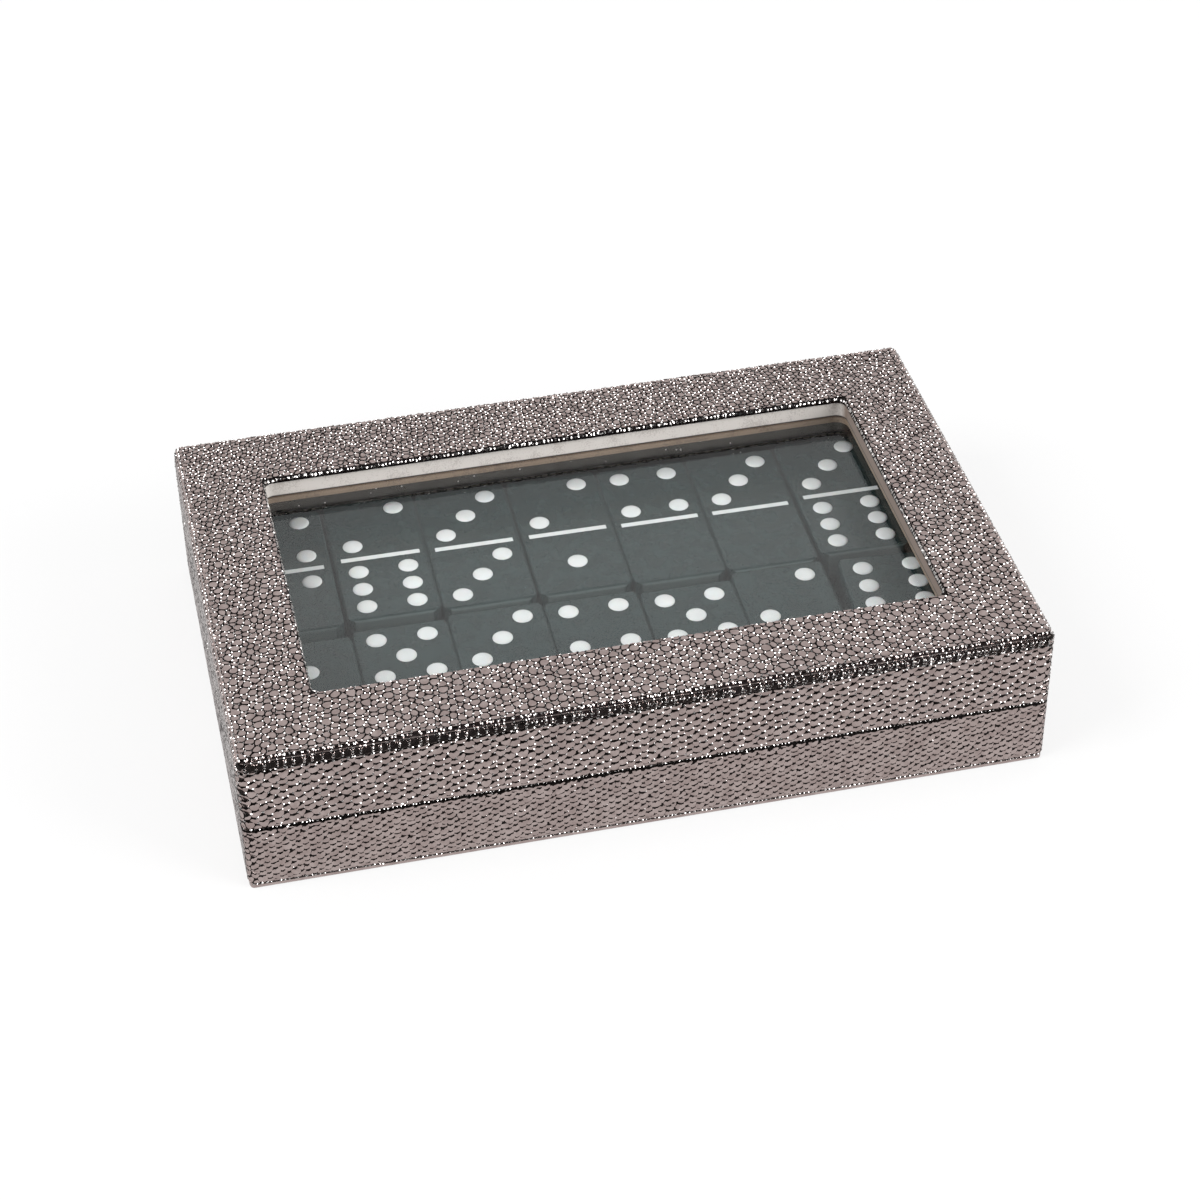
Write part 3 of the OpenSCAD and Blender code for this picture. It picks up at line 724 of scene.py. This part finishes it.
# The crease itself: a low ridge all round the top edge, with a slight wander.
CREASE_STEPS = 900
CREASE_PROFILE = ((34, -0.0002), (36, 0.00033), (60, 0.0), (58, -0.0002))   # degrees up the roll, lift
bm = bmesh.new()
crease_rings = []
for k in range(CREASE_STEPS):
    sag = 0.00004 * math.sin(k * 0.37) + 0.00003 * math.sin(k * 1.13 + 2)
    ring = []
    for rise, lift in CREASE_PROFILE:
        p, facing = on_wall(k / CREASE_STEPS * CASE_GIRTH, ROLL_FOOT + CORNER_R * math.radians(rise))
        ring.append(bm.verts.new((p.x, p.y, p.z + lift + sag)))
    crease_rings.append(ring)
for k in range(CREASE_STEPS):
    low, high = crease_rings[k], crease_rings[(k + 1) % CREASE_STEPS]
    for i in range(4):
        j = (i + 1) % 4
        bm.faces.new((low[i], high[i], high[j], low[j]))
bmesh.ops.recalc_face_normals(bm, faces=bm.faces)
crease = in_scene("lid_edge_crease", as_mesh("lid_edge_crease", bm))
crease.data.materials.append(pewter_foil)
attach(crease, "lid")


def top_bounds(x, y):
    """The straight edges that a pebble of the top stops at."""
    reach_x, reach_y = CASE_W / 2 - 0.0010, CASE_D / 2 - 0.0010
    open_x, open_y = WINDOW_W / 2 + 0.0003, WINDOW_D / 2 + 0.0003
    edges = ((1, 0, reach_x), (-1, 0, reach_x), (0, 1, reach_y), (0, -1, reach_y))
    beyond_x, beyond_y = abs(x) - open_x, abs(y) - open_y
    if beyond_x > beyond_y:
        return edges + ((-math.copysign(1, x), 0, -open_x),)
    return edges + ((0, -math.copysign(1, y), -open_y),)


def off_window(x, y, room=0.0):
    """Whether a place on the top is that far from the window or further."""
    return abs(x) > WINDOW_W / 2 + room or abs(y) > WINDOW_D / 2 + room


# Top: the same grain, cut off round the window, with beads in its pits and a
# row of them where it is turned down over the window's edge.
top_cells = [outline for outline in grain(rng, -CASE_W / 2, CASE_W / 2, -CASE_D / 2, CASE_D / 2, TOP_PITCH,
                                          scatter=0.22, spread=0.22, bounds=top_bounds, finer=0.17)
             if off_window(*middle(outline))]
top_seats = spaced(pits_of(top_cells, 1.0, seed=23, side=-60)
                   + grooves_of(top_cells, 0.8, seed=24, side=-60), 0.00092)
for name, low, high, gap in (("front", -1.0, -WINDOW_D / 2, 0.00028),
                             ("side", -WINDOW_D / 2, WINDOW_D / 2, 0.00031),
                             ("back", WINDOW_D / 2, 1.0, 0.00031)):
    # The steep faces of these pebbles take the groove foil, painted dark as shade.
    raise_pebbles("lid_top_%s_pebbles" % name, "lid",
                  [outline for outline in top_cells if low <= outline[0][1] < high], on_top,
                  Press(gap=gap, corner=0.28, foot=0.4, narrow=0.00005, wide=0.00015,
                        side=-90, sharp=1.5, lean=0.0), seed=21, bevel_foil=groove_foil_shaded)
    set_beads("lid_top_%s_beads" % name, "lid", [seat for seat in top_seats if low <= seat.y < high],
              on_top, size=0.00055, height=0.00026, lift=0.0001, seed=25,
              keep=lambda p: off_window(p.x, p.y, 0.0004))
turned_down = BeadRow(inset=-0.00013, z=CASE_H - 0.0003, rise=35, pitch=0.00105, size=0.001)
rows_of_beads("window_edge_beads", "lid", (turned_down,), seed=24,
              half_w=WINDOW_W / 2, half_d=WINDOW_D / 2, r=WINDOW_R, inward=True)
for shape in list(beads.objects):
    bpy.data.objects.remove(shape)
bpy.data.collections.remove(beads)

# ---- Linings ----
# Base and lid are lined with black flocked card. The window is edged with warm
# grey suede cloth, glued inside the frame, and the card ring that holds the
# glass is covered in the same suede, painted brown as shade, since it lies under the glass.


def suede(name, low, high):
    """Brushed suede cloth: no shine, a soft sheen, and a nap of fine fibres
    that lie in slightly different directions from patch to patch."""
    material, tree, shader = new_material(name, Roughness=0.95, Sheen_Weight=0.25, Specular_IOR_Level=0.2)
    place = node(tree, "ShaderNodeTexCoord").outputs["Object"]
    nap = node(tree, "ShaderNodeTexNoise", Vector=place, Scale=2600.0, Detail=4.0)
    patch = node(tree, "ShaderNodeTexNoise", Vector=place, Scale=160.0, Detail=3.0)
    both = node(tree, "ShaderNodeMath", {"operation": "ADD"}, i0=nap, i1=patch)
    colour = node(tree, "ShaderNodeValToRGB", {"stops": [(0.8, low), (1.0, high)]}, Fac=both)
    relief = node(tree, "ShaderNodeBump", Height=nap, Strength=0.5, Distance=0.0001)
    feed(shader, Base_Color=colour, Normal=relief)
    return material, tree, shader, place, colour


# Painted shade: the suede darkened to brown for the ring that lies in shade under the glass.
shaded_suede = suede("shaded_suede", "#7a6558", "#937c6c")[0]
dress("pane_retainer", shaded_suede)

# At the ends of the window the strip is painted brown as shade, and its
# foot is painted dark as the shadow where it meets the glass.
GLASS_TOP = 0.0346
grey_suede, tree, shader, place, colour = suede("warm_grey_suede", "#bab3ae", "#d0cac5")
parts = node(tree, "ShaderNodeSeparateXYZ", Vector=place).outputs
aside = node(tree, "ShaderNodeMath", {"operation": "ABSOLUTE"}, i0=parts["X"])
shaded_ends = node(tree, "ShaderNodeMapRange", Value=aside, i1=WINDOW_W / 2 - 0.0006, i2=WINDOW_W / 2 + 0.0004)
colour = node(tree, "ShaderNodeMix", {"data_type": "RGBA"}, i0=shaded_ends, i6=colour,
              i7=linear("#7c6c62")).outputs[2]
shadow_at_foot = node(tree, "ShaderNodeMapRange", Value=parts["Z"], i1=GLASS_TOP + 0.00025,
               i2=GLASS_TOP + 0.0005, i3=1.0, i4=0.0)
colour = node(tree, "ShaderNodeMix", {"data_type": "RGBA"}, i0=shadow_at_foot, i6=colour,
              i7=linear("#3a3330")).outputs[2]
feed(shader, Base_Color=colour)
dress("window_edging", grey_suede)

# Black flock: short upright fibres on card, with a few pale specks of lint.
black_flock, tree, shader = new_material("black_flock", Roughness=1.0, Specular_IOR_Level=0.1)
place = node(tree, "ShaderNodeTexCoord").outputs["Object"]
specks = node(tree, "ShaderNodeTexVoronoi", Vector=place, Scale=700.0).outputs
near = node(tree, "ShaderNodeMath", {"operation": "LESS_THAN"}, i0=specks["Distance"], i1=0.16)
chance = node(tree, "ShaderNodeSeparateXYZ", Vector=specks["Color"]).outputs["X"]
few = node(tree, "ShaderNodeMath", {"operation": "GREATER_THAN"}, i0=chance, i1=0.8)
lint = node(tree, "ShaderNodeMath", {"operation": "MULTIPLY"}, i0=near, i1=few)
pile = node(tree, "ShaderNodeTexNoise", Vector=place, Scale=3000.0, Detail=3.0)
cloth = node(tree, "ShaderNodeValToRGB", {"stops": [(0.3, "#0b0a0b"), (0.7, "#181617")]}, Fac=pile)
colour = node(tree, "ShaderNodeMix", {"data_type": "RGBA"}, i0=lint, i6=cloth, i7=linear("#b9b6b2"))
relief = node(tree, "ShaderNodeBump", Height=pile, Strength=0.5, Distance=0.0001)
feed(shader, Base_Color=colour.outputs[2], Normal=relief)
for name in ("base_floor_lining", "base_wall_lining", "lid_wall_lining"):
    dress(name, black_flock)

# ---- Dominoes ----
# Twenty-eight tiles moulded in black urea resin and tumbled smooth, with
# white pips and a white bar inlaid in the face.

# The rounded edges that face right and front are painted paler, a painted highlight of the lamps, and the
# tiles are scuffed finely.
HIGHLIGHT_TOWARDS = (0.66, -0.75, 0)   # the way that the palest edges face
black_resin, tree, shader = new_material("black_urea_resin")
place = node(tree, "ShaderNodeTexCoord").outputs["Object"]
cloud = node(tree, "ShaderNodeTexNoise", Vector=place, Scale=220.0, Detail=4.0)
colour = node(tree, "ShaderNodeValToRGB", {"stops": [(0.3, "#1a2728"), (0.7, "#233233")]}, Fac=cloud)
facing = node(tree, "ShaderNodeNewGeometry").outputs["Normal"]
forward = node(tree, "ShaderNodeVectorMath", {"operation": "DOT_PRODUCT"}, i0=facing,
               i1=HIGHLIGHT_TOWARDS).outputs["Value"]
# Painted highlight: paler where the rounded edges face that way.
painted_highlight = node(tree, "ShaderNodeValToRGB", {"stops": [(0.4, "#000000"), (0.55, "#707070"),
                                                     (0.8, "#707070"), (0.9, "#000000")]},
              Fac=forward)
colour = node(tree, "ShaderNodeMix", {"data_type": "RGBA"}, i0=painted_highlight, i6=colour, i7=linear("#a3adab"))
scuff = node(tree, "ShaderNodeTexNoise", Vector=place, Scale=1800.0, Detail=3.0)
dull = node(tree, "ShaderNodeMapRange", Value=scuff, i3=0.17, i4=0.23)
feed(shader, Base_Color=colour.outputs[2], Roughness=dull)
for name in nodes:
    if name.startswith("tile_") and name[5].isdigit():
        dress(name, black_resin)

# White urea resin: the same moulding powder without the black, polished.
white_resin, tree, shader = new_material("white_urea_resin", Roughness=0.16, Subsurface_Weight=0.1,
                                         Subsurface_Scale=0.0005)
place = node(tree, "ShaderNodeTexCoord").outputs["Object"]
cloud = node(tree, "ShaderNodeTexNoise", Vector=place, Scale=300.0, Detail=3.0)
colour = node(tree, "ShaderNodeValToRGB", {"stops": [(0.3, "#dcd9db"), (0.7, "#e6e3e5")]}, Fac=cloud)
feed(shader, Base_Color=colour)
dress("tile_bars", white_resin)


def pip_places():
    """The middle of the top of each inlaid pip, from the solids."""
    bm = bmesh.new()
    bm.from_mesh(nodes["tile_pips"].data)
    bmesh.ops.remove_doubles(bm, verts=bm.verts, dist=1e-6)
    left, places = set(bm.verts), []
    while left:
        part, todo = [], [left.pop()]
        while todo:
            vert = todo.pop()
            part.append(vert.co)
            for edge in vert.link_edges:
                other = edge.other_vert(vert)
                if other in left:
                    left.remove(other)
                    todo.append(other)
        xs, ys, zs = zip(*part)
        places.append(((min(xs) + max(xs)) / 2, (min(ys) + max(ys)) / 2, max(zs)))
    bm.free()
    return sorted(places)


# Each pip is a little button, domed on top, in its pocket. The profile gives the
# radius and the height over the tile's face, from the foot to the middle.
PIP_R = 0.00265
PIP_SIDES = 24
PIP_PROFILE = ((PIP_R, -0.0006), (PIP_R, 0.00004), (PIP_R * 0.96, 0.00016), (PIP_R * 0.8, 0.00036),
               (PIP_R * 0.55, 0.00048), (PIP_R * 0.28, 0.00054))
bm = bmesh.new()
for x, y, z in pip_places():
    angles = [k * math.pi / (PIP_SIDES // 2) for k in range(PIP_SIDES)]
    skin(bm, [[bm.verts.new((x + r * math.cos(a), y + r * math.sin(a), z + h)) for a in angles]
              for r, h in PIP_PROFILE])
pips = in_scene("domed_pips", as_mesh("domed_pips", bm))
pips.data.polygons.foreach_set("use_smooth", [True] * len(pips.data.polygons))
pips.data.materials.append(white_resin)
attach(pips, "base")
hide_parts("tile_pips")

# ---- Hinges ----
# Two small butt hinges of nickel-plated steel, let into the back boards, each
# with a steel pin and two countersunk screws in each leaf.

nickel, tree, shader = new_material("nickel_plated_steel", Metallic=1.0, Roughness=0.28)
place = node(tree, "ShaderNodeTexCoord").outputs["Object"]
brushed = node(tree, "ShaderNodeMapping", Vector=place, Scale=(200.0, 6000.0, 6000.0))
lines = node(tree, "ShaderNodeTexNoise", Vector=brushed, Scale=1.0, Detail=3.0)
colour = node(tree, "ShaderNodeValToRGB", {"stops": [(0.3, "#b3afa8"), (0.7, "#c6c3bd")]}, Fac=lines)
relief = node(tree, "ShaderNodeBump", Height=lines, Distance=0.000004)
feed(shader, Base_Color=colour, Normal=relief)
for name in ("hinge_left_base_leaf", "hinge_right_base_leaf", "hinge_left_lid_leaf",
             "hinge_right_lid_leaf", "hinge_left_pin", "hinge_right_pin",
             "base_hinge_screws", "lid_hinge_screws"):
    dress(name, nickel)

# ---- Glass ----
# A plain clear float-glass pane with the faint green of iron in it, cut with
# square edges and dropped into its rebate from below.

# Lamp light goes straight through it, so that the tiles below are lit evenly.
float_glass, tree, shader = new_material("float_glass", Roughness=0.0, IOR=1.5, Transmission_Weight=1.0,
                                         Base_Color=linear("#fafcfb"))
path = node(tree, "ShaderNodeLightPath").outputs
lets_light_by = node(tree, "ShaderNodeMath", {"operation": "MAXIMUM"}, i0=path["Is Shadow Ray"],
                     i1=path["Is Diffuse Ray"])
open_glass = node(tree, "ShaderNodeBsdfTransparent", Color=linear("#f4f7f6"))
glass = node(tree, "ShaderNodeMixShader", i0=lets_light_by, i1=shader, i2=open_glass)
feed(tree.nodes["Material Output"], Surface=glass)
dress("window_pane", float_glass)

# ---- Studio ----
# A pale floor, a white surround, two soft lamps above the sides, a faint strip
# in front, and the camera.

MIRRORED_WHITE = 0.65   # how bright the table and the backdrop are in the foil
MIRRORED_DARK = 0.012   # and the dark of the room in front
TABLE_FRONT = -0.130    # where the table ends in the foil
TABLE_FADE = 0.017      # and how far behind that it begins to fade
PLAIN_WHITE = (1, 1, 1, 1)
FLOOR_HALF = 4          # metres from the middle of the floor to its edge
floor_mesh = bpy.data.meshes.new("floor")
floor_mesh.from_pydata([(x * FLOOR_HALF, y * FLOOR_HALF, 0) for x, y in ((-1, -1), (1, -1), (1, 1), (-1, 1))],
                       [], [(0, 1, 2, 3)])
floor = in_scene("floor", floor_mesh)
floor_paint, tree, shader = new_material("pale_floor", Roughness=0.9, Base_Color=linear("#f4f4f4"),
                                         Specular_IOR_Level=0.0)
path = node(tree, "ShaderNodeLightPath").outputs
seen = node(tree, "ShaderNodeMath", {"operation": "MAXIMUM"}, i0=path["Is Camera Ray"],
            i1=path["Is Transmission Ray"])
share = node(tree, "ShaderNodeMath", {"operation": "MULTIPLY"}, i0=seen, i1=0.8)
white = node(tree, "ShaderNodeEmission", Color=PLAIN_WHITE, Strength=0.93)
mixed = node(tree, "ShaderNodeMixShader", i0=share, i1=shader, i2=white)
# The foil mirrors the pale table, and past its front edge the dark of the room.
place = node(tree, "ShaderNodeTexCoord").outputs["Object"]
depth = node(tree, "ShaderNodeSeparateXYZ", Vector=place).outputs["Y"]
table = node(tree, "ShaderNodeMapRange", Value=depth, i1=TABLE_FRONT, i2=TABLE_FRONT + TABLE_FADE,
             i3=MIRRORED_DARK, i4=MIRRORED_WHITE)
sheet = node(tree, "ShaderNodeEmission", Color=PLAIN_WHITE, Strength=table)
mixed = node(tree, "ShaderNodeMixShader", i0=path["Is Glossy Ray"], i1=mixed, i2=sheet)
feed(tree.nodes["Material Output"], Surface=mixed)
floor_mesh.materials.append(floor_paint)

world = bpy.data.worlds.new("studio")
world.use_nodes = True
bpy.context.scene.world = world
tree = world.node_tree
tree.nodes.clear()
direction = node(tree, "ShaderNodeTexCoord").outputs["Generated"]
parts = node(tree, "ShaderNodeSeparateXYZ", Vector=direction).outputs
# In the foil the room is white up to 52 degrees at the back and to 22 degrees at
# the sides, and dark from below the horizon in front, on the camera's side.
edge = node(tree, "ShaderNodeMapRange", Value=parts["Y"], i1=-0.5, i2=0.3, i3=-0.3, i4=0.79)
above = node(tree, "ShaderNodeMath", {"operation": "SUBTRACT"}, i0=parts["Z"], i1=edge)
dark = node(tree, "ShaderNodeMapRange", Value=above, i1=-0.04, i2=0.04, i3=0.0, i4=1.0)
room = node(tree, "ShaderNodeMix", {"data_type": "RGBA"}, i0=dark, i6=(MIRRORED_WHITE,) * 3 + (1,),
            i7=(0.012, 0.011, 0.013, 1)).outputs[2]
path = node(tree, "ShaderNodeLightPath").outputs
mirrored = node(tree, "ShaderNodeBackground", Color=room, Strength=1.0)
ambient = node(tree, "ShaderNodeBackground", Color=PLAIN_WHITE, Strength=0.8)
plain = node(tree, "ShaderNodeBackground", Color=PLAIN_WHITE, Strength=0.97)
first = node(tree, "ShaderNodeMixShader", i0=path["Is Glossy Ray"], i1=ambient, i2=mirrored)
second = node(tree, "ShaderNodeMixShader", i0=path["Is Camera Ray"], i1=first, i2=plain)
node(tree, "ShaderNodeOutputWorld", Surface=second)


def lamp(name, place, width, height, power):
    """A soft lamp that faces the middle of the case."""
    light = bpy.data.lights.new(name, "AREA")
    light.shape = "RECTANGLE"
    light.size = width
    light.size_y = height
    light.energy = power
    holder = in_scene(name, light)
    holder.location = place
    holder.rotation_euler = (Vector((0, 0, 0.02)) - Vector(place)).to_track_quat("-Z", "Y").to_euler()


lamp("left_lamp", (-1.52, -0.32, 1.40), width=1.20, height=1.20, power=32.0)
lamp("right_lamp", (1.64, -1.12, 0.84), width=1.20, height=1.50, power=44.0)
lamp("high_strip", (0.17, -0.62, 0.76), width=0.50, height=0.05, power=0.10)

camera_data = bpy.data.cameras.new("camera")
camera_data.sensor_width = 36
camera_data.lens = 86.157
camera = in_scene("camera", camera_data)
right = Vector((0.974749, -0.222967, -0.012258))
down = Vector((-0.148697, -0.60715, -0.78055))
forward = Vector((0.166594, 0.762663, -0.624974))
camera.matrix_world = Matrix((
    (right.x, -down.x, -forward.x, -0.12413),
    (right.y, -down.y, -forward.y, -0.57312),
    (right.z, -down.z, -forward.z, 0.48907),
    (0, 0, 0, 1)))
bpy.context.scene.camera = camera
bpy.context.scene.view_settings.view_transform = "Standard"
